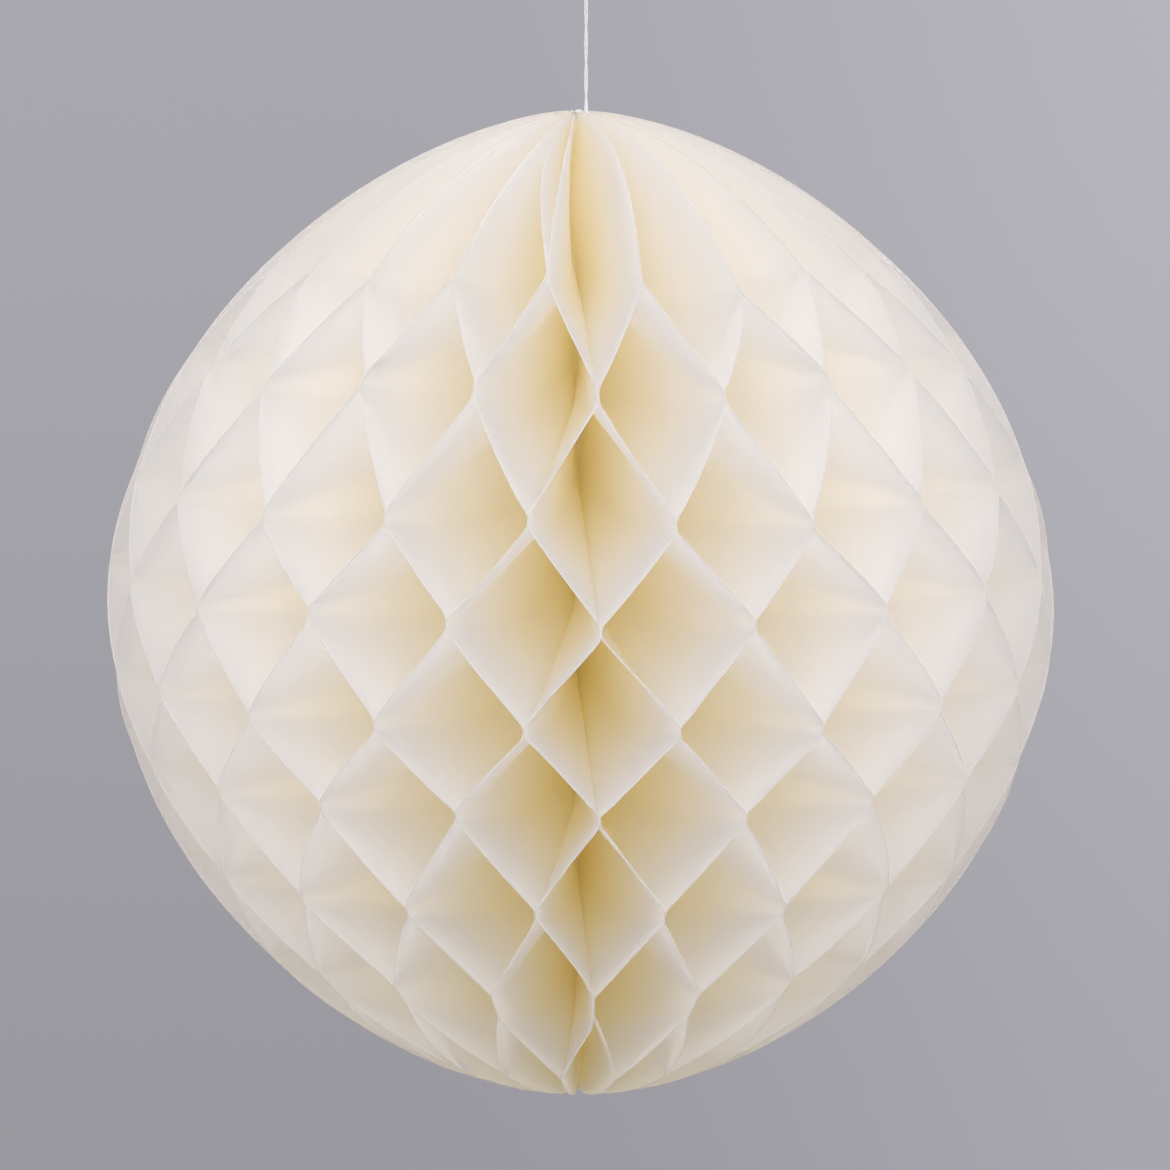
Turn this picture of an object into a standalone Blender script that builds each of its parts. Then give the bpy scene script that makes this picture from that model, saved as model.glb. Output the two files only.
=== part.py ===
# Honeycomb paper ball, opened all the way round and hanging on a doubled thread.
# Forty leaves of tissue stand round an upright axis. Each is glued to its neighbour on one
# side along every other row, and to the one on its other side along the rows between, so
# that the free paper opens into diamond cells.
# Metres, +Z up, origin at the middle of the ball. The photographed side faces -Y.

import math

import bmesh
import bpy
from mathutils import Vector

# Ball
BALL_DIAMETER = 0.250
BALL_HEIGHT = 0.262
LEAF_COUNT = 40
PAPER_THICKNESS = 0.0002
GLUE_CLEARANCE = 0.0003

# Outline of a leaf: a superellipse, a little pointed at both poles and more so at the top
TOP_POWER_ACROSS = 1.217
BOTTOM_POWER_ACROSS = 1.144
OUTLINE_POWER_UP = 1.047
POLE_EDGE_WIDTH = 0.0022

# Height of the free paper above the first glue row and below the last
TOP_FREE_AT_EDGE = 0.0358
TOP_FREE_AT_BINDING = 0.0290
BOTTOM_FREE_AT_EDGE = 0.0111
BOTTOM_FREE_AT_BINDING = 0.0193

# Glue rows at the cut edge, as shares of the way down from the first row to the last.
# At the binding they are evenly spaced.
EDGE_ROWS = (0.0, 0.122, 0.268, 0.383, 0.507, 0.612, 0.740, 0.857, 1.0)

# Share of its room that a leaf leans aside at the poles, where no row holds it
POLE_LEAN = 0.86

# Azimuth of a glue point of the second row, to the right of -Y
GLUE_AZIMUTH = math.radians(2.6)

# Steps of a leaf's mesh: down each panel from the top pole to the bottom one, and across
PANEL_STEPS = (5, 1, 1, 1, 1, 1, 1, 1, 2, 2)
RADIAL_STEPS = 3

# Binding of the leaves' straight edges
BINDING_SIDES = 20
BINDING_END_INSET = 0.0006

# String, the knot that ties it and the knot and eye at its upper end
STRING_DIAMETER = 0.0010
STRING_LENGTH = 0.0345
STRING_OFFSET = 0.0015
STRING_CLEARANCE = 0.0003
STRING_POINT_PITCH = 0.0022
TIE_KNOT_WIDTH = 0.0022
TIE_KNOT_HEIGHT = 0.0011
END_KNOT_WIDTH = 0.0022
END_KNOT_HEIGHT = 0.0024
KNOT_SEGMENTS = 10
KNOT_RINGS = 6
EYE_THREAD_DIAMETER = 0.0007
EYE_HEIGHT = 0.0120
EYE_WIDTH = 0.0060
EYE_POINTS = 28
THREAD_BEVEL_RESOLUTION = 2

# Sizes that follow
BALL_RADIUS = BALL_DIAMETER / 2.0
BALL_HALF_HEIGHT = BALL_HEIGHT / 2.0
EDGE_ROW_TOP = BALL_HALF_HEIGHT - TOP_FREE_AT_EDGE
EDGE_ROW_BOTTOM = BOTTOM_FREE_AT_EDGE - BALL_HALF_HEIGHT
BINDING_ROW_TOP = BALL_HALF_HEIGHT - TOP_FREE_AT_BINDING
BINDING_ROW_BOTTOM = BOTTOM_FREE_AT_BINDING - BALL_HALF_HEIGHT
LEAF_STEP = 2.0 * math.pi / LEAF_COUNT
HALF_STEP = LEAF_STEP / 2.0
SHEET_OFFSET = (PAPER_THICKNESS + GLUE_CLEARANCE) / 2.0
BINDING_EDGE_RADIUS = SHEET_OFFSET / math.sin(HALF_STEP)
BINDING_RADIUS = BINDING_EDGE_RADIUS - GLUE_CLEARANCE


def clear_scene():
    for item in list(bpy.data.objects):
        bpy.data.objects.remove(item, do_unlink=True)


def make_material(name, color, roughness):
    material = bpy.data.materials.new(name)
    material.use_nodes = True
    shader = material.node_tree.nodes["Principled BSDF"]
    shader.inputs["Base Color"].default_value = (*color, 1.0)
    shader.inputs["Roughness"].default_value = roughness
    shader.inputs["Metallic"].default_value = 0.0
    return material


def outline_point(turn):
    """Radius and height on the leaf's cut edge, a turn down from the top pole."""
    power = TOP_POWER_ACROSS if turn < math.pi / 2.0 else BOTTOM_POWER_ACROSS
    radius = BALL_RADIUS * math.sin(turn) ** power
    height = abs(math.cos(turn)) ** OUTLINE_POWER_UP
    return radius, BALL_HALF_HEIGHT * math.copysign(height, math.cos(turn))


def turn_at_height(height):
    share = height / BALL_HALF_HEIGHT
    return math.acos(math.copysign(abs(share) ** (1.0 / OUTLINE_POWER_UP), share))


def pole_turn(power_across):
    """Turn from a pole to the end of the cut edge, just outside the binding."""
    radius = BINDING_EDGE_RADIUS + POLE_EDGE_WIDTH
    return math.asin((radius / BALL_RADIUS) ** (1.0 / power_across))


def between(first, last, share):
    return tuple(a + (b - a) * share for a, b in zip(first, last))


def leaf_stations(top_lean):
    """Lines across the leaf from the top down: turn at the edge, height at the binding, lean.

    A lean of 1 puts the paper against the neighbour on the right, -1 on the left.
    """
    top_turn = pole_turn(TOP_POWER_ACROSS)
    bottom_turn = math.pi - pole_turn(BOTTOM_POWER_ACROSS)
    rows = []
    for index, edge_share in enumerate(EDGE_ROWS):
        lean = top_lean if index % 2 == 0 else -top_lean
        binding_share = index / (len(EDGE_ROWS) - 1)
        edge_height = EDGE_ROW_TOP + (EDGE_ROW_BOTTOM - EDGE_ROW_TOP) * edge_share
        binding_height = BINDING_ROW_TOP + (BINDING_ROW_BOTTOM - BINDING_ROW_TOP) * binding_share
        rows.append((turn_at_height(edge_height), binding_height, lean))
    top = (top_turn, outline_point(top_turn)[1], rows[0][2] * POLE_LEAN)
    bottom = (bottom_turn, outline_point(bottom_turn)[1], rows[-1][2] * POLE_LEAN)
    folds = [top] + rows + [bottom]
    stations = [top]
    for first, last, steps in zip(folds, folds[1:], PANEL_STEPS):
        stations += [between(first, last, step / steps) for step in range(1, steps + 1)]
    return stations


def leaf_point(station, share):
    """A point of the leaf's middle surface, a share of the way from the binding to the edge."""
    turn, binding_height, lean = station
    edge_radius, edge_height = outline_point(turn)
    edge_x = edge_radius * math.cos(lean * HALF_STEP)
    x = BINDING_EDGE_RADIUS + (edge_x - BINDING_EDGE_RADIUS) * share
    y = lean * (x * math.tan(HALF_STEP) - SHEET_OFFSET / math.cos(HALF_STEP))
    z = binding_height + (edge_height - binding_height) * share
    return Vector((x, y, z))


def make_leaf_mesh(name, top_lean, material):
    """The leaf's middle surface, cut into triangles so that both faces of the paper fold alike."""
    shares = [step / RADIAL_STEPS for step in range(RADIAL_STEPS + 1)]
    bm = bmesh.new()
    lines = []
    for station in leaf_stations(top_lean):
        lines.append([bm.verts.new(leaf_point(station, share)) for share in shares])
    for upper, lower in zip(lines, lines[1:]):
        for corners in zip(upper, lower, lower[1:], upper[1:]):
            bm.faces.new(corners)
    bmesh.ops.triangulate(bm, faces=bm.faces[:])
    mesh = bpy.data.meshes.new(name)
    bm.to_mesh(mesh)
    bm.free()
    mesh.materials.append(material)
    return mesh


def make_leaves(collection, material):
    """Leaves in turn lean right and left at the top row, each in its own sector."""
    meshes = (
        make_leaf_mesh("leaf_right", 1.0, material),
        make_leaf_mesh("leaf_left", -1.0, material),
    )
    for index in range(LEAF_COUNT):
        leaf = bpy.data.objects.new(f"leaf_{index + 1:02d}", meshes[index % 2])
        leaf.rotation_euler.z = GLUE_AZIMUTH + (index + 0.5) * LEAF_STEP - math.pi / 2.0
        solidify = leaf.modifiers.new("paper", "SOLIDIFY")
        solidify.thickness = PAPER_THICKNESS
        solidify.offset = 0.0
        collection.objects.link(leaf)


def binding_top():
    return outline_point(pole_turn(TOP_POWER_ACROSS))[1] - BINDING_END_INSET


def make_binding(collection, material):
    bm = bmesh.new()
    bmesh.ops.create_cone(
        bm,
        cap_ends=True,
        segments=BINDING_SIDES,
        radius1=BINDING_RADIUS,
        radius2=BINDING_RADIUS,
        depth=2.0 * binding_top(),
    )
    mesh = bpy.data.meshes.new("binding")
    bm.to_mesh(mesh)
    bm.free()
    mesh.materials.append(material)
    collection.objects.link(bpy.data.objects.new("binding", mesh))


def make_knot(collection, material, name, width, height, centre):
    bm = bmesh.new()
    bmesh.ops.create_uvsphere(bm, u_segments=KNOT_SEGMENTS, v_segments=KNOT_RINGS, radius=0.5)
    bmesh.ops.scale(bm, vec=(width, width, height), verts=bm.verts)
    mesh = bpy.data.meshes.new(name)
    bm.to_mesh(mesh)
    bm.free()
    mesh.materials.append(material)
    mesh.shade_smooth()
    knot = bpy.data.objects.new(name, mesh)
    knot.location = centre
    collection.objects.link(knot)


def make_thread(collection, material, name, points, diameter, closed=False):
    curve = bpy.data.curves.new(name, "CURVE")
    curve.dimensions = "3D"
    curve.bevel_depth = diameter / 2.0
    curve.bevel_resolution = THREAD_BEVEL_RESOLUTION
    curve.use_fill_caps = not closed
    spline = curve.splines.new("POLY")
    spline.points.add(len(points) - 1)
    for target, point in zip(spline.points, points):
        target.co = point.to_4d()
    spline.use_cyclic_u = closed
    curve.materials.append(material)
    collection.objects.link(bpy.data.objects.new(name, curve))


def string_points(foot):
    """A taut string is straight, so its points stand evenly up one line."""
    steps = round(STRING_LENGTH / STRING_POINT_PITCH)
    rise = Vector((0.0, 0.0, STRING_LENGTH / steps))
    return [foot + rise * step for step in range(steps + 1)]


def eye_points(foot):
    """An upright oval of thread whose lowest point is at the foot."""
    points = []
    for step in range(EYE_POINTS):
        turn = 2.0 * math.pi * step / EYE_POINTS
        across = EYE_WIDTH / 2.0 * math.sin(turn)
        up = EYE_HEIGHT / 2.0 * (1.0 - math.cos(turn))
        points.append(foot + Vector((across, 0.0, up)))
    return points


def make_string(collection, material):
    foot = Vector((STRING_OFFSET, 0.0, binding_top() + STRING_CLEARANCE))
    make_thread(collection, material, "string", string_points(foot), STRING_DIAMETER)

    beside = (STRING_DIAMETER + TIE_KNOT_WIDTH) / 2.0 + STRING_CLEARANCE
    tie_centre = foot + Vector((-beside, 0.0, TIE_KNOT_HEIGHT / 2.0))
    make_knot(collection, material, "tie_knot", TIE_KNOT_WIDTH, TIE_KNOT_HEIGHT, tie_centre)

    knot_middle = STRING_LENGTH + STRING_CLEARANCE + END_KNOT_HEIGHT / 2.0
    end_centre = foot + Vector((0.0, 0.0, knot_middle))
    make_knot(collection, material, "end_knot", END_KNOT_WIDTH, END_KNOT_HEIGHT, end_centre)

    eye_rise = (END_KNOT_HEIGHT + EYE_THREAD_DIAMETER) / 2.0 + STRING_CLEARANCE
    eye_foot = end_centre + Vector((0.0, 0.0, eye_rise))
    make_thread(collection, material, "hanging_eye", eye_points(eye_foot), EYE_THREAD_DIAMETER, True)


def main():
    clear_scene()
    collection = bpy.data.collections.new("honeycomb_paper_ball")
    bpy.context.scene.collection.children.link(collection)
    paper = make_material("cream_tissue", (0.85, 0.79, 0.66), 0.85)
    thread = make_material("white_thread", (0.88, 0.88, 0.86), 0.70)
    make_leaves(collection, paper)
    make_binding(collection, paper)
    make_string(collection, thread)


main()
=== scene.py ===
# Looks of the honeycomb paper ball: forty tissue leaves in staggered glue rows, the binding
# on the axis, and the doubled thread with its knots and eye.
# Metres, in the frame of the CAD part: +Z up, the photographed side faces -Y.
import math

import bpy
import numpy as np
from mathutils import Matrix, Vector


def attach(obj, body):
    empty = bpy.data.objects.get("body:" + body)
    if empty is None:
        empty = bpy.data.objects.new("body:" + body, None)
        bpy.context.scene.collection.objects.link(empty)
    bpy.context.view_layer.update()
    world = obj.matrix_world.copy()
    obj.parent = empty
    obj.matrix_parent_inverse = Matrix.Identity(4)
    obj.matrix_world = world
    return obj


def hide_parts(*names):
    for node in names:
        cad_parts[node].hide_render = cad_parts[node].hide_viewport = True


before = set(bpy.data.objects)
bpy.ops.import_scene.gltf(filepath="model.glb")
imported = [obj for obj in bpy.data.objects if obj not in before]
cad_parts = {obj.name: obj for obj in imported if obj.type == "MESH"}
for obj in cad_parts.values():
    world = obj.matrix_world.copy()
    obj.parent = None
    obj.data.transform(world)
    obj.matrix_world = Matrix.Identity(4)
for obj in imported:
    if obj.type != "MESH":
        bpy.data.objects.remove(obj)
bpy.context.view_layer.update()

# Camera
CAMERA_DISTANCE = 1.986
CAMERA_ELEVATION = math.radians(8.61)
CAMERA_AIM = Vector((0.0012, 0.0, 0.0052))
SENSOR_WIDTH_MM = 36.0
PHOTO_SIDE_PX = 1170.0
BALL_SCALE_PX_PER_RADIAN = 7500.0

# Ball and leaves, as in the part's source
BALL_RADIUS = 0.125
BALL_HALF_HEIGHT = 0.131
LEAF_COUNT = 40
LEAF_STEP = 2.0 * math.pi / LEAF_COUNT
TOP_POWER_ACROSS = 1.217
BOTTOM_POWER_ACROSS = 1.144
OUTLINE_POWER_UP = 1.047
POLE_EDGE_RADIUS = 0.0054
EDGE_ROW_TOP = 0.0952
EDGE_ROW_BOTTOM = -0.1199
EDGE_ROWS = (0.0, 0.122, 0.268, 0.383, 0.507, 0.612, 0.740, 0.857, 1.0)
BINDING_ROW_TOP = 0.1020
BINDING_ROW_BOTTOM = -0.1117
GLUE_AZIMUTH = math.radians(2.6)
ROW_COUNT = len(EDGE_ROWS)
PANEL_COUNT = ROW_COUNT + 1

# Fine form of a leaf
INNER_RADIUS = 0.00295
GLUE_GAP = 0.00012
RIM_RADIUS = 0.00018
RIM_SIDES = 6
POLE_RIM_RADIUS = 0.00010
POLE_RIM_REACH = (0.085, 0.125)
GLUE_BAND_SHARE = 0.022
EDGE_EASE_SHARE = 0.07
DEEP_EASE_SHARE = 0.35
TOP_PANEL_STEPS = 22
PANEL_STEPS = 16
BOTTOM_PANEL_STEPS = 10
RADIAL_STEPS = 32
RADIAL_CROWDING = 1.5
STEP_CROWDING = 0.5
LONG_BAND_SHARES = (0.05, 0.24)

# Drift of the glue planes on the front of the ball, in metres downwards at the first row,
# keyed by plane; it fades towards the bottom. The planes behind drift by chance.
FRONT_DRIFT = {
    -7: 0.0010, -6: 0.0032, -5: 0.0016, -4: -0.0015, -3: -0.0005, -2: -0.0010, -1: -0.0020,
    0: 0.0012, 1: 0.0008, 2: 0.0012, 3: 0.0032, 4: -0.0020, 5: -0.0012, 6: -0.0016, 7: 0.0,
}
BACK_DRIFT = 0.0016
DRIFT_FADE_ROWS = 4.0
INNER_DRIFT_SHARE = 0.5
NODE_DRIFT = 0.0003
NODE_SWING = math.radians(0.12)

# Free ends at the poles: how far a closed pair sways to the right and how far it opens, in metres,
# held to a share of the room between the pairs
FRONT_SWAY = {-1: -0.0031, 1: 0.0025}
FRONT_OPENING = {-1: 0.0029, 1: 0.0003}
BACK_SWAY = 0.0008
BACK_OPENING = 0.0006
BOTTOM_SWAY_SHARE = 0.5
SWAY_POWER = 0.8
SWAY_REACH = 0.8
SWAY_ROOM = 0.62

# Leaves cling together beside a glue row, the more the deeper inside, and sag between
# the binding and the cut edge
CLING_BELOW = 0.25
CLING_ABOVE = 0.28
CLING_DEPTH = 0.68
SAG = 0.0045

# Slack of the paper
BULGE = 0.0003
WRINKLE = 0.00050
WRINKLE_REACH = 0.012
WRINKLE_START = (0.001, 0.004)
WRINKLE_FREE_SHARE = 0.14
WRINKLE_FOLDS = (7.0, 13.0)
WRINKLE_FINE_SHARE = 0.6
SHORTEST_DISTANCE = 1e-6
SHIFT_MIN_RADIUS = 0.01

# Bend of the binding to the left near the top row
BEND_DEPTH = -0.0040
BEND_HEIGHT = 0.108
BEND_SPAN = 0.014
BEND_OFFSET = -0.0008
BEND_REACH = 0.014

# Binding
BINDING_RADIUS = 0.00289
BINDING_TOP = 0.13001
BINDING_FOOT = -0.13070
BINDING_SIDES = 40
BINDING_RINGS = 90

# String, as in the part's source
STRING_LENGTH = 0.0345
STRING_FOOT = Vector((0.0015, 0.0, 0.13031))
STRAND_DIAMETER = 0.00062
STRAND_OFFSET = 0.00020
STRAND_TURN_LENGTH = 0.018
STRAND_STEPS = 110
STRAND_SIDES = 10
THREAD_NODES = ("tie_knot", "end_knot", "hanging_eye")
TUBE_FIRST_SIDE = (0.31, 0.95, 0.07)

SEED = 7

# Paper
PAPER_COLOUR = (0.9998, 0.9898, 0.9685, 1.0)
# Painted glow: a deeper, warmer colour near the axis that stands for light passed between many leaves
DEEP_PAINTED_GLOW_COLOUR = (1.0, 0.9845, 0.907, 1.0)
# Where the painted glow fades out, and how much height lifts it so that the top stays paler (painted light
# from above)
PAINTED_GLOW_SHARES = (-0.02, 0.86)
PAINTED_GLOW_LIFT = 2.3
FULL_HEIGHT_MARGIN = 1.01
PASSED_THICK = 0.48
PASSED_THIN = 0.60
CLOUD_SCALE = 260.0
PAPER_ROUGHNESS = 0.9

# Thread
THREAD_COLOUR = (0.97, 0.97, 0.96, 1.0)
# Painted shade in the grooves between the plies
THREAD_GROOVE_PAINTED_SHADE = (0.91, 0.91, 0.89, 1.0)
THREAD_TWIST_SCALE = 330.0
THREAD_FIBRE_SCALE = 6000.0
THREAD_FIBRE_DETAIL = 3.0
THREAD_FIBRE_HEIGHT = 0.5
THREAD_ROUGHNESS = 0.8
THREAD_SHEEN = 0.3
THREAD_RELIEF = 0.00004

# Stage
FLOOR_RADIUS = 3.6
FLOOR_SIDES = 96
FLOOR_HEIGHT = -2.0
FLOOR_COLOUR = (0.53, 0.52, 0.56, 1.0)
FLOOR_SHADE = (0.50, 0.49, 0.53, 1.0)
FLOOR_GRAIN_SCALE = 40.0
FLOOR_GRAIN_DETAIL = 6.0
FLOOR_ROUGHNESS = 0.95
FLOOR_SPECULAR = 0.1
TENT_RADIUS = 6.0
TENT_SEGMENTS = 48
TENT_RINGS = 24
LIGHT_BELOW = (1.07, 1.0, 0.88, 1.0)
LIGHT_ABOVE = (0.99, 1.0, 1.12, 1.0)
FRONT_LIGHT_FROM = (0.0, -0.90, 0.436)
TOP_LIGHT = 0.74
TOP_LIGHT_POWER = 3.0
SIDE_LIGHT = 2.05
SIDE_LIGHT_POWER = 6.0
FRONT_LIGHT = 1.90
FRONT_LIGHT_POWER = 19.0
BACKDROP_COLOUR = (1.0, 0.975, 1.07, 1.0)
BACKDROP_LEVEL = 0.322
BACKDROP_ACROSS = 0.075
BACKDROP_UPWARD = 0.08
BACKDROP_SIDES = (-0.03, 0.10)
BACKDROP_ENDS = (-0.25, -0.06)
LIGHT_BOUNCES = 60


def outline_radius(turn):
    power = np.where(turn < math.pi / 2.0, TOP_POWER_ACROSS, BOTTOM_POWER_ACROSS)
    return BALL_RADIUS * np.sin(turn) ** power


def outline_height(turn):
    upright = np.cos(turn)
    return BALL_HALF_HEIGHT * np.sign(upright) * np.abs(upright) ** OUTLINE_POWER_UP


def turn_at_height(height):
    share = height / BALL_HALF_HEIGHT
    return np.arccos(np.sign(share) * np.abs(share) ** (1.0 / OUTLINE_POWER_UP))


def pole_turn(power_across):
    return math.asin((POLE_EDGE_RADIUS / BALL_RADIUS) ** (1.0 / power_across))


def make_camera():
    data = bpy.data.cameras.new("camera")
    data.sensor_width = SENSOR_WIDTH_MM
    data.lens = SENSOR_WIDTH_MM * BALL_SCALE_PX_PER_RADIAN / PHOTO_SIDE_PX
    camera = bpy.data.objects.new("camera", data)
    back = Vector((0.0, -math.cos(CAMERA_ELEVATION), math.sin(CAMERA_ELEVATION)))
    camera.location = CAMERA_AIM + back * CAMERA_DISTANCE
    camera.rotation_euler = (-back).to_track_quat("-Z", "Y").to_euler()
    bpy.context.scene.collection.objects.link(camera)
    bpy.context.scene.camera = camera


def add_mesh(name, points, faces, material, body="root"):
    mesh = bpy.data.meshes.new(name)
    mesh.from_pydata([tuple(p) for p in points], [], faces)
    mesh.materials.append(material)
    mesh.shade_smooth()
    piece = bpy.data.objects.new(name, mesh)
    bpy.context.scene.collection.objects.link(piece)
    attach(piece, body)
    return piece


def tube(points, radius, sides, closed=False):
    """Points and faces of a tube along a line, its ends closed by caps unless it is a ring."""
    line = np.array([tuple(p) for p in points], float)
    if closed:
        ahead = np.roll(line, -1, axis=0) - np.roll(line, 1, axis=0)
    else:
        ahead = np.gradient(line, axis=0)
    ahead /= np.linalg.norm(ahead, axis=1)[:, None]
    side = np.cross(ahead[0], TUBE_FIRST_SIDE)
    rings = []
    for centre, direction, reach in zip(line, ahead, np.broadcast_to(radius, len(line))):
        side = side - direction * (side @ direction)
        side /= np.linalg.norm(side)
        other = np.cross(direction, side)
        turns = 2.0 * math.pi * np.arange(sides) / sides
        rings.append(centre + reach * (np.cos(turns)[:, None] * side + np.sin(turns)[:, None] * other))
    vertices = np.concatenate(rings)
    faces = []
    count = len(line)
    for ring in range(count if closed else count - 1):
        for corner in range(sides):
            a = ring * sides + corner
            b = ring * sides + (corner + 1) % sides
            c = (b + sides) % len(vertices)
            d = (a + sides) % len(vertices)
            faces.append((a, b, c, d))
    if not closed:
        faces.append(tuple(range(sides - 1, -1, -1)))
        faces.append(tuple(range(len(vertices) - sides, len(vertices))))
    return vertices, faces


def join_parts(parts):
    """One set of points and faces from several."""
    points, faces, start = [], [], 0
    for vertices, polygons in parts:
        points.append(vertices)
        faces += [tuple(index + start for index in polygon) for polygon in polygons]
        start += len(vertices)
    return np.concatenate(points), faces


def bend(points):
    """Carries points near the axis along with the bent binding."""
    moved = np.array(points, float)
    radius = np.hypot(moved[:, 0], moved[:, 1])
    shift = BEND_OFFSET + BEND_DEPTH * np.exp(-(((moved[:, 2] - BEND_HEIGHT) / BEND_SPAN) ** 2))
    moved[:, 0] += shift * np.exp(-((radius / BEND_REACH) ** 2))
    return moved


def smooth_step(low, high, value):
    share = np.clip((value - low) / (high - low), 0.0, 1.0)
    return share * share * (3.0 - 2.0 * share)


def crossing(share, band, ease):
    """0 along the glue band at the start, 1 along the one at the end, straight in between."""
    way = np.clip((share - band[0]) / (1.0 - band[0] - band[1]), 0.0, 1.0)
    slope = 1.0 / (1.0 - ease)
    start = slope * way**2 / (2.0 * ease)
    middle = slope * (way - ease / 2.0)
    end = 1.0 - slope * (1.0 - way) ** 2 / (2.0 * ease)
    return np.where(way < ease, start, np.where(way > 1.0 - ease, end, middle))


def signed_plane(plane):
    """Planes counted from the front, positive to the right."""
    return (plane + LEAF_COUNT // 2) % LEAF_COUNT - LEAF_COUNT // 2


def draw_planes(rng):
    """Height and azimuth shifts of each glue point, and the sway and opening of the free ends."""
    rows = np.arange(ROW_COUNT)
    drop = np.zeros((LEAF_COUNT, ROW_COUNT))
    swing = np.zeros((LEAF_COUNT, ROW_COUNT))
    sway = np.zeros((LEAF_COUNT, 2))
    opening = np.zeros((LEAF_COUNT, 2))
    for plane in range(LEAF_COUNT):
        seen = signed_plane(plane)
        chance = rng.normal(0.0, 1.0, 4)
        first = FRONT_DRIFT.get(seen, BACK_DRIFT * chance[0])
        drop[plane] = first * np.exp(-rows / DRIFT_FADE_ROWS) + rng.normal(0.0, NODE_DRIFT, ROW_COUNT)
        swing[plane] = rng.normal(0.0, NODE_SWING, ROW_COUNT)
        top_sway = FRONT_SWAY.get(seen, BACK_SWAY * chance[1])
        top_opening = FRONT_OPENING.get(seen, BACK_OPENING * abs(chance[3]))
        sway[plane] = (top_sway, BACK_SWAY * chance[2] * BOTTOM_SWAY_SHARE)
        opening[plane] = (top_opening, BACK_OPENING * BOTTOM_SWAY_SHARE)
    return drop, swing, sway, opening


def folds(away, inward, phase, free):
    """Sideways shift by the fine folds that fan out from a glue point, away along the ball's height."""
    distance = np.hypot(away, inward) + SHORTEST_DISTANCE
    angle = np.arctan2(away, inward)
    fade = np.exp(-distance / WRINKLE_REACH) * smooth_step(*WRINKLE_START, away)
    coarse, fine = WRINKLE_FOLDS
    ripple = np.cos(coarse * angle + phase) + WRINKLE_FINE_SHARE * np.cos(fine * angle + 2.0 * phase)
    return WRINKLE * fade * ripple * smooth_step(0.0, WRINKLE_FREE_SHARE, free)


def lean(away, across, radius, aside):
    """Sideways shift of a free end at a pole, held to the room between the pairs."""
    hump = math.sin(math.pi * away**SWAY_POWER)
    room = SWAY_ROOM * 2.0 * LEAF_STEP * radius
    return room * np.tanh(hump * smooth_step(0.0, SWAY_REACH, across) * aside / room)


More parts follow.
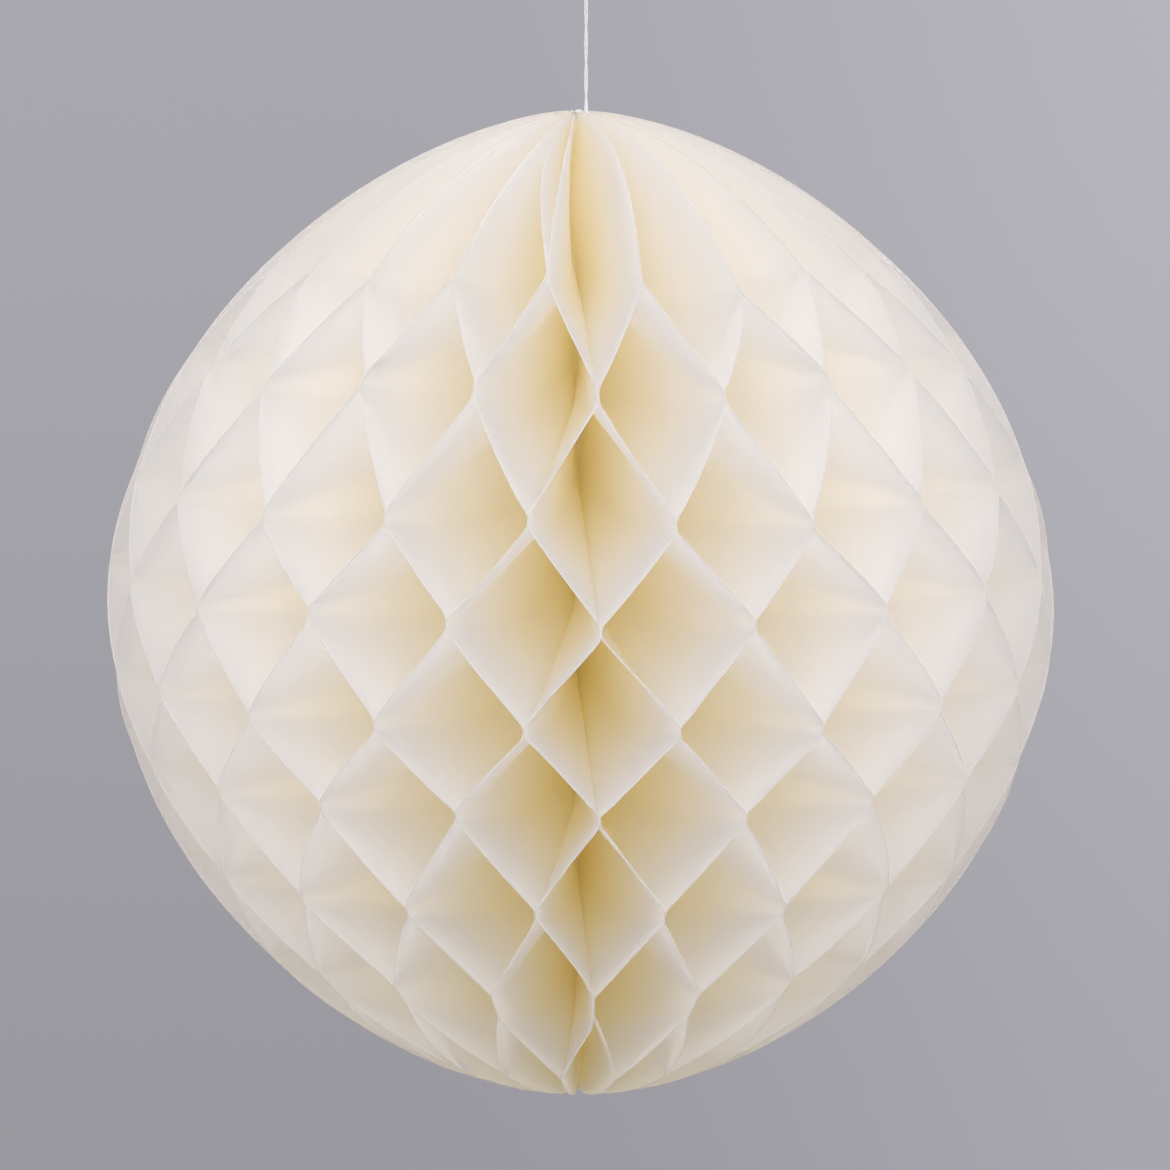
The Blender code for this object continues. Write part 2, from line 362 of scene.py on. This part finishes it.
def leaf_grid(leaf, planes, rng):
    """Points of one leaf: lines from the top pole down, each from the binding to the cut edge."""
    drop, swing, sway, opening = planes
    rows = np.arange(ROW_COUNT)
    odd_row = (rows + 1) % 2
    to_left = odd_row == leaf % 2
    plane = np.where(to_left, leaf, (leaf + 1) % LEAF_COUNT)
    side = np.where(to_left, -1.0, 1.0)
    base = GLUE_AZIMUTH + np.where(to_left, leaf, leaf + 1) * LEAF_STEP

    edge = EDGE_ROW_TOP + (EDGE_ROW_BOTTOM - EDGE_ROW_TOP) * np.array(EDGE_ROWS) - drop[plane, rows]
    inner = np.linspace(BINDING_ROW_TOP, BINDING_ROW_BOTTOM, ROW_COUNT)
    inner = inner - INNER_DRIFT_SHARE * drop[plane, rows]
    top, bottom = pole_turn(TOP_POWER_ACROSS), math.pi - pole_turn(BOTTOM_POWER_ACROSS)
    turns = np.concatenate([[top], turn_at_height(edge), [bottom]])
    heights = np.concatenate([[outline_height(top)], inner, [outline_height(bottom)]])
    azimuths = base + swing[plane, rows]
    azimuths = np.concatenate([azimuths[:1], azimuths, azimuths[-1:]])
    sides = np.concatenate([side[:1], side, side[-1:]])

    across = 1.0 - (1.0 - np.linspace(0.0, 1.0, RADIAL_STEPS + 1)) ** RADIAL_CROWDING
    depth = smooth_step(0.0, CLING_DEPTH, 1.0 - across)
    below = GLUE_BAND_SHARE + CLING_BELOW * depth
    above = GLUE_BAND_SHARE + CLING_ABOVE * depth
    ease = EDGE_EASE_SHARE + (DEEP_EASE_SHARE - EDGE_EASE_SHARE) * depth
    lines = []
    for panel in range(PANEL_COUNT):
        steps = PANEL_STEPS
        if panel == 0:
            steps = TOP_PANEL_STEPS
        elif panel == PANEL_COUNT - 1:
            steps = BOTTOM_PANEL_STEPS
        even = np.linspace(0.0, 1.0, steps + 1)
        crowded = 0.5 - 0.5 * np.cos(math.pi * even)
        shares = (1.0 - STEP_CROWDING) * even + STEP_CROWDING * crowded
        bulge = rng.normal(0.0, BULGE, 2)
        phases = rng.uniform(0.0, 2.0 * math.pi, 4)
        long_band = rng.uniform(*LONG_BAND_SHARES) if panel == PANEL_COUNT - 2 else GLUE_BAND_SHARE
        if panel > 0:
            shares = shares[1:]
        for share in shares:
            loose = 1.0
            if panel == 0:
                loose = smooth_step(0.0, 1.0, share)
            elif panel == PANEL_COUNT - 1:
                loose = smooth_step(0.0, 1.0, 1.0 - share)
            turn = turns[panel] + (turns[panel + 1] - turns[panel]) * share
            height = heights[panel] + (heights[panel + 1] - heights[panel]) * share
            edge_radius = outline_radius(turn)
            edge_height = outline_height(turn)
            radius = INNER_RADIUS + (edge_radius - INNER_RADIUS) * across
            rise = height + (edge_height - height) * across - loose * SAG * np.sin(math.pi * across)
            gap = np.arcsin(GLUE_GAP / 2.0 / radius)
            first = azimuths[panel] - sides[panel] * gap
            last = azimuths[panel + 1] - sides[panel + 1] * gap
            mix = crossing(share, (np.maximum(long_band, below), above), ease)
            azimuth = first + (last - first) * mix
            if 0 < panel < PANEL_COUNT - 1:
                free = np.sin(math.pi * mix)
                shift = free * across * (bulge[0] + bulge[1] * np.sin(math.pi * across))
                inward = (1.0 - across) * (edge_radius - INNER_RADIUS)
                panel_height = abs(outline_height(turns[panel]) - outline_height(turns[panel + 1]))
                shift = shift + folds(share * panel_height, inward, phases[0], free)
                shift = shift + folds((1.0 - share) * panel_height, inward, phases[2], free)
            else:
                pole = 0 if panel == 0 else 1
                plane_here = plane[0] if panel == 0 else plane[-1]
                away = share if panel == 0 else 1.0 - share
                apart = -sides[panel] * opening[plane_here, pole]
                shift = lean(away, across, radius, sway[plane_here, pole] + apart)
            azimuth = azimuth + shift / np.maximum(radius, SHIFT_MIN_RADIUS)
            lines.append(np.stack([radius * np.sin(azimuth), -radius * np.cos(azimuth), rise], axis=1))
    return np.array(lines)


def grid_faces(lines, points_a_line):
    index = np.arange(lines * points_a_line).reshape(lines, points_a_line)
    corners = (index[:-1, :-1], index[1:, :-1], index[1:, 1:], index[:-1, 1:])
    return np.stack([c.ravel() for c in corners], axis=1).tolist()


def make_leaves(material):
    rng = np.random.default_rng(SEED)
    planes = draw_planes(rng)
    for leaf in range(LEAF_COUNT):
        grid = leaf_grid(leaf, planes, rng)
        sheet = (bend(grid.reshape(-1, 3)), grid_faces(grid.shape[0], grid.shape[1]))
        edge = bend(grid[:, -1])
        polar = smooth_step(*POLE_RIM_REACH, np.abs(edge[:, 2]))
        rim = tube(edge, RIM_RADIUS + (POLE_RIM_RADIUS - RIM_RADIUS) * polar, RIM_SIDES)
        points, faces = join_parts([sheet, rim])
        name = f"leaf_{leaf + 1:02d}"
        piece = add_mesh(f"tissue_{name}", points, faces, material)
        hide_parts(name)


def make_binding(material):
    heights = np.linspace(BINDING_FOOT, BINDING_TOP, BINDING_RINGS)
    line = [(0.0, 0.0, height) for height in heights]
    points, faces = tube(line, BINDING_RADIUS, BINDING_SIDES)
    piece = add_mesh("glued_binding", bend(points), faces, material)
    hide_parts("binding")


def strand(phase):
    """One of the two strands, wound about the string's line."""
    rise = np.linspace(0.0, STRING_LENGTH, STRAND_STEPS)
    turn = 2.0 * math.pi * rise / STRAND_TURN_LENGTH + phase
    x = STRING_FOOT.x + STRAND_OFFSET * np.cos(turn)
    y = STRING_FOOT.y + STRAND_OFFSET * np.sin(turn)
    return tube(np.stack([x, y, STRING_FOOT.z + rise], axis=1), STRAND_DIAMETER / 2.0, STRAND_SIDES)


def make_string(material):
    points, faces = join_parts([strand(0.0), strand(math.pi)])
    string = add_mesh("doubled_thread", points, faces, material)
    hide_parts("string")


def calc(tree, operation, *values):
    """A math node on sockets and numbers; returns its output."""
    node = tree.nodes.new("ShaderNodeMath")
    node.operation = operation
    for socket, value in zip(node.inputs, values):
        if isinstance(value, bpy.types.NodeSocket):
            tree.links.new(value, socket)
        else:
            socket.default_value = value
    return node.outputs["Value"]


def ramp(tree, value, low, high):
    """0 below low, 1 above high, smooth in between."""
    node = tree.nodes.new("ShaderNodeMapRange")
    node.interpolation_type = "SMOOTHSTEP"
    tree.links.new(value, node.inputs["Value"])
    node.inputs["From Min"].default_value = low
    node.inputs["From Max"].default_value = high
    return node.outputs["Result"]


def blend(tree, factor, first, second):
    """A colour between two, by a socket."""
    node = tree.nodes.new("ShaderNodeMix")
    node.data_type = "RGBA"
    tree.links.new(factor, node.inputs["Factor"])
    node.inputs["A"].default_value = first
    node.inputs["B"].default_value = second
    return node.outputs["Result"]


def noise(tree, vector, scale, detail):
    node = tree.nodes.new("ShaderNodeTexNoise")
    node.inputs["Scale"].default_value = scale
    node.inputs["Detail"].default_value = detail
    tree.links.new(vector, node.inputs["Vector"])
    return node.outputs["Fac"]


def relief(tree, height, depth):
    """A bumped normal, its depth in metres."""
    node = tree.nodes.new("ShaderNodeBump")
    node.inputs["Distance"].default_value = depth
    tree.links.new(height, node.inputs["Height"])
    return node.outputs["Normal"]


def make_paper():
    """Cream tissue that scatters nearly all light, about half of it through the sheet, in faint
    clouds of thicker and thinner pulp; its colour is painted warmer towards the middle of the ball and
    lower down, and paler towards the top: a painted glow that stands for light passed between many leaves
    in the deep cells."""
    material = bpy.data.materials.new("cream_tissue")
    material.use_nodes = True
    tree = material.node_tree
    nodes, links = tree.nodes, tree.links
    place = nodes.new("ShaderNodeTexCoord")
    squares = nodes.new("ShaderNodeVectorMath")
    squares.operation = "MULTIPLY"
    links.new(place.outputs["Object"], squares.inputs[0])
    links.new(place.outputs["Object"], squares.inputs[1])
    axes = nodes.new("ShaderNodeSeparateXYZ")
    links.new(squares.outputs["Vector"], axes.inputs["Vector"])
    height = nodes.new("ShaderNodeSeparateXYZ")
    links.new(place.outputs["Object"], height.inputs["Vector"])
    radius_squared = calc(tree, "ADD", axes.outputs["X"], axes.outputs["Y"])
    full_squared = calc(tree, "SUBTRACT", BALL_HALF_HEIGHT**2 * FULL_HEIGHT_MARGIN, axes.outputs["Z"])
    share = calc(tree, "SQRT", calc(tree, "DIVIDE", radius_squared, full_squared))
    # Painted glow: the share of the way out from the axis, raised higher up, picks the deep colour near
    # the axis and low down
    share = calc(tree, "MULTIPLY_ADD", height.outputs["Z"], PAINTED_GLOW_LIFT, share)
    outside_painted_glow = ramp(tree, share, *PAINTED_GLOW_SHARES)
    colour = blend(tree, outside_painted_glow, DEEP_PAINTED_GLOW_COLOUR, PAPER_COLOUR)
    clouds = noise(tree, place.outputs["Object"], CLOUD_SCALE, 0.0)

    shader = nodes["Principled BSDF"]
    shader.inputs["Roughness"].default_value = PAPER_ROUGHNESS
    shader.inputs["Specular IOR Level"].default_value = 0.0
    links.new(colour, shader.inputs["Base Color"])
    through = nodes.new("ShaderNodeBsdfTranslucent")
    links.new(colour, through.inputs["Color"])
    mix = nodes.new("ShaderNodeMixShader")
    passed = calc(tree, "MULTIPLY_ADD", clouds, PASSED_THIN - PASSED_THICK, PASSED_THICK)
    links.new(passed, mix.inputs["Fac"])
    links.new(shader.outputs["BSDF"], mix.inputs[1])
    links.new(through.outputs["BSDF"], mix.inputs[2])
    links.new(mix.outputs["Shader"], nodes["Material Output"].inputs["Surface"])
    return material


def make_thread_material():
    """White cotton: plies that wind round the thread, with painted shade in the grooves between them, and
    fine fibres.
    """
    material = bpy.data.materials.new("white_thread")
    material.use_nodes = True
    tree = material.node_tree
    place = tree.nodes.new("ShaderNodeTexCoord")
    plies = tree.nodes.new("ShaderNodeTexWave")
    plies.bands_direction = "DIAGONAL"
    plies.inputs["Scale"].default_value = THREAD_TWIST_SCALE
    tree.links.new(place.outputs["Object"], plies.inputs["Vector"])
    fibres = noise(tree, place.outputs["Object"], THREAD_FIBRE_SCALE, THREAD_FIBRE_DETAIL)
    height = calc(tree, "MULTIPLY_ADD", fibres, THREAD_FIBRE_HEIGHT, plies.outputs["Fac"])
    shader = tree.nodes["Principled BSDF"]
    # Painted shade: the grooves between the plies, low in the relief, get the darker colour
    colour = blend(tree, plies.outputs["Fac"], THREAD_GROOVE_PAINTED_SHADE, THREAD_COLOUR)
    tree.links.new(colour, shader.inputs["Base Color"])
    tree.links.new(relief(tree, height, THREAD_RELIEF), shader.inputs["Normal"])
    shader.inputs["Roughness"].default_value = THREAD_ROUGHNESS
    shader.inputs["Sheen Weight"].default_value = THREAD_SHEEN
    return material


def dress_knots(material):
    """The knots and the hanging eye keep the solids' form."""
    for name in THREAD_NODES:
        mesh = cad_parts[name].data
        mesh.materials.clear()
        mesh.materials.append(material)
        mesh.shade_smooth()


def make_stage():
    """A pale floor well below the hanging ball."""
    turns = 2.0 * math.pi * np.arange(FLOOR_SIDES) / FLOOR_SIDES
    points = [(FLOOR_RADIUS * math.cos(t), FLOOR_RADIUS * math.sin(t), FLOOR_HEIGHT) for t in turns]
    mesh = bpy.data.meshes.new("floor")
    mesh.from_pydata(points, [], [tuple(range(FLOOR_SIDES))])
    material = bpy.data.materials.new("pale_floor")
    material.use_nodes = True
    tree = material.node_tree
    place = tree.nodes.new("ShaderNodeTexCoord")
    clouds = noise(tree, place.outputs["Object"], FLOOR_GRAIN_SCALE, FLOOR_GRAIN_DETAIL)
    shader = tree.nodes["Principled BSDF"]
    tree.links.new(blend(tree, clouds, FLOOR_COLOUR, FLOOR_SHADE), shader.inputs["Base Color"])
    shader.inputs["Roughness"].default_value = FLOOR_ROUGHNESS
    shader.inputs["Specular IOR Level"].default_value = FLOOR_SPECULAR
    mesh.materials.append(material)
    floor = bpy.data.objects.new("floor", mesh)
    bpy.context.scene.collection.objects.link(floor)


def make_backdrop():
    """A plain grey world, a little lighter to the right and above in the photographed view."""
    world = bpy.data.worlds.new("backdrop")
    bpy.context.scene.world = world
    world.use_nodes = True
    world.cycles.sampling_method = "NONE"
    tree = world.node_tree
    place = tree.nodes.new("ShaderNodeTexCoord")
    axes = tree.nodes.new("ShaderNodeSeparateXYZ")
    tree.links.new(place.outputs["Generated"], axes.inputs["Vector"])
    across = ramp(tree, axes.outputs["X"], *BACKDROP_SIDES)
    upward = ramp(tree, axes.outputs["Z"], *BACKDROP_ENDS)
    grey = calc(tree, "MULTIPLY_ADD", across, BACKDROP_ACROSS, BACKDROP_LEVEL)
    grey = calc(tree, "MULTIPLY_ADD", upward, BACKDROP_UPWARD, grey)
    shade = tree.nodes["Background"]
    shade.inputs["Color"].default_value = BACKDROP_COLOUR
    tree.links.new(grey, shade.inputs["Strength"])


def make_light_tent():
    """A tent of soft light all round, out of the camera's sight: brighter from the front, the sides
    and above, cooler from above and warmer from below."""
    bpy.ops.mesh.primitive_uv_sphere_add(segments=TENT_SEGMENTS, ring_count=TENT_RINGS, radius=TENT_RADIUS)
    tent = bpy.context.object
    tent.name = "light_tent"
    tent.visible_camera = False
    material = bpy.data.materials.new("soft_light")
    material.use_nodes = True
    material.cycles.emission_sampling = "NONE"
    tree = material.node_tree
    place = tree.nodes.new("ShaderNodeTexCoord")
    facing = tree.nodes.new("ShaderNodeVectorMath")
    facing.operation = "NORMALIZE"
    tree.links.new(place.outputs["Object"], facing.inputs["Vector"])
    axes = tree.nodes.new("ShaderNodeSeparateXYZ")
    tree.links.new(facing.outputs["Vector"], axes.inputs["Vector"])
    across, upward = axes.outputs["X"], axes.outputs["Z"]
    rise = calc(tree, "POWER", calc(tree, "MULTIPLY_ADD", upward, 0.5, 0.5), TOP_LIGHT_POWER)
    towards = tree.nodes.new("ShaderNodeVectorMath")
    towards.operation = "DOT_PRODUCT"
    tree.links.new(facing.outputs["Vector"], towards.inputs[0])
    towards.inputs[1].default_value = FRONT_LIGHT_FROM
    fore = calc(tree, "MULTIPLY_ADD", towards.outputs["Value"], 0.5, 0.5)
    fore = calc(tree, "POWER", fore, FRONT_LIGHT_POWER)
    light = calc(tree, "MULTIPLY_ADD", rise, TOP_LIGHT, calc(tree, "MULTIPLY", fore, FRONT_LIGHT))
    sides = calc(tree, "POWER", calc(tree, "ABSOLUTE", across), SIDE_LIGHT_POWER)
    light = calc(tree, "MULTIPLY_ADD", sides, SIDE_LIGHT, light)
    shine = tree.nodes.new("ShaderNodeEmission")
    tint = blend(tree, ramp(tree, upward, -1.0, 1.0), LIGHT_BELOW, LIGHT_ABOVE)
    tree.links.new(tint, shine.inputs["Color"])
    tree.links.new(light, shine.inputs["Strength"])
    tree.links.new(shine.outputs["Emission"], tree.nodes["Material Output"].inputs["Surface"])
    tent.data.materials.append(material)


def set_light_paths():
    """Lets light pass through and between many leaves, which together with the paper's painted glow makes
    the deep cells glow.
    """
    cycles = bpy.context.scene.cycles
    cycles.max_bounces = LIGHT_BOUNCES
    cycles.diffuse_bounces = LIGHT_BOUNCES
    cycles.transmission_bounces = LIGHT_BOUNCES


make_camera()
thread = make_thread_material()
make_string(thread)
dress_knots(thread)
paper = make_paper()
make_leaves(paper)
make_binding(paper)
make_stage()
make_backdrop()
make_light_tent()
set_light_paths()
bpy.context.scene.view_settings.view_transform = "Standard"
